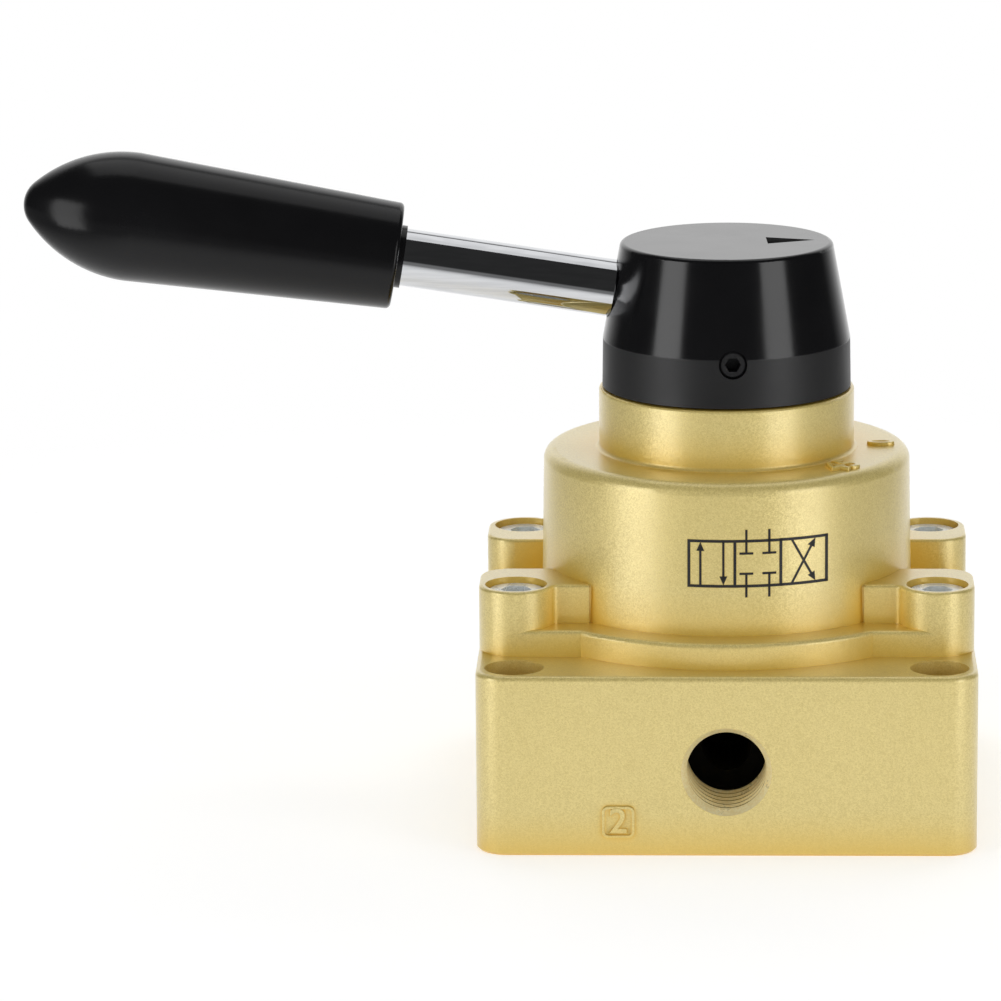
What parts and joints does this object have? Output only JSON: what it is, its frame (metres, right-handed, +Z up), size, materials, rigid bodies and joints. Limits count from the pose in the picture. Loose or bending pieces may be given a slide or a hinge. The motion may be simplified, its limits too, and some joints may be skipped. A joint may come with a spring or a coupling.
{
  "type": "hand lever air valve",
  "caption": "Square block air valve with a threaded port on each side and a black knob with a tilted rod lever and bullet grip that turns a rotary disc.",
  "frame": {"origin": "centre of the mounting pattern on the body's underside", "axes": "+Z up along the turning axis; the lever points along -X in its middle notch; -Y is the front, where the set screw is"},
  "size_m": [0.1384, 0.072, 0.0971],
  "materials": {
    "body_paint": "satin metallic paint with fine flake",
    "knob_finish": "black, low gloss",
    "grip_plastic": "black, high gloss",
    "chrome_plate": "bright plated",
    "zinc_screw": "bright zinc plated",
    "black_steel": "black oxide",
    "ground_steel": "ground",
    "spring_steel": "drawn wire",
    "aluminium_disc": "lapped",
    "bronze": "plain bearing bronze",
    "slide_polymer": "low friction polymer",
    "black_rubber": "nitrile"
  },
  "bodies": {
    "body": {"valve_body": "body_paint", "cover": "body_paint", "cover_screws": "zinc_screw", "cover_seal": "black_rubber", "port_seal_rings": "black_rubber", "seat_plate": "ground_steel", "seat_dowels": "ground_steel", "thrust_washer": "slide_polymer", "spindle_bush": "bronze"},
    "handle": {"knob": "knob_finish", "knob_set_screw": "black_steel", "lever_rod": "chrome_plate", "lever_grip": "grip_plastic", "grip_ferrule": "grip_plastic", "spindle": "ground_steel", "drive_pins": "ground_steel", "rotor_disc": "aluminium_disc", "rotor_spring": "spring_steel", "detent_springs": "spring_steel", "spindle_seal_rings": "black_rubber", "retaining_ring": "spring_steel"},
    "balls": {"detent_balls": "ground_steel"}
  },
  "joints": [
    {"name": "lever_turn", "type": "hinge", "parent": "body", "child": "handle", "pos_m": [0, 0, 0.0736], "axis": [0, 0, 1], "range_deg": [-45, 45]},
    {"name": "ball_rise", "type": "slide", "parent": "handle", "child": "balls", "axis": [0, 0, 1], "range_m": [0, 0.0006], "deforming": ["detent_springs"]}
  ]
}
